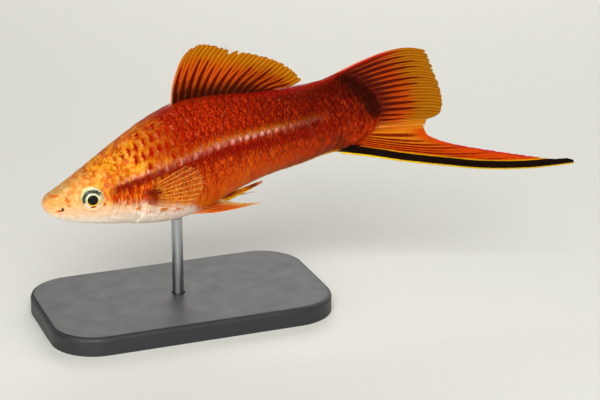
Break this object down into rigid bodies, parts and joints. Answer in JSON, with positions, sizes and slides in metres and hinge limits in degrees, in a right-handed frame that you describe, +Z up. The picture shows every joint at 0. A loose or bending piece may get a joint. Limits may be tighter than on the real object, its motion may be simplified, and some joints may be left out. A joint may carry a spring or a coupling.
{
  "type": "swordtail fish model",
  "caption": "Life-size still model of a male swordtail, nose down with the tail swung to its left, on a plain display stand.",
  "frame": {"origin": "centre of the box's underside, which is the underside of the stand's base", "axes": "+Z up, the front of the body along X with the head at -X, the fish's left side at -Y, to which the tail swings"},
  "size_m": [0.1182, 0.036, 0.0588],
  "materials": {
    "flesh": "painted, satin",
    "head": "painted, satin",
    "dark_fin": "painted, satin",
    "orange_fin": "painted, satin",
    "eye": "painted, glossy",
    "stand": "satin black",
    "rod": "satin"
  },
  "bodies": {
    "root": {"head": "head", "trunk": "flesh", "tail_stalk": "flesh", "dorsal_fin": "dark_fin", "tail_fin": "orange_fin", "sword": "orange_fin", "gonopodium": "orange_fin", "eye_left": "eye", "pectoral_fin_left": "orange_fin", "pelvic_fin_left": "orange_fin", "eye_right": "eye", "pectoral_fin_right": "orange_fin", "pelvic_fin_right": "orange_fin", "stand_base": "stand", "stand_rod": "rod"}
  },
  "joints": []
}
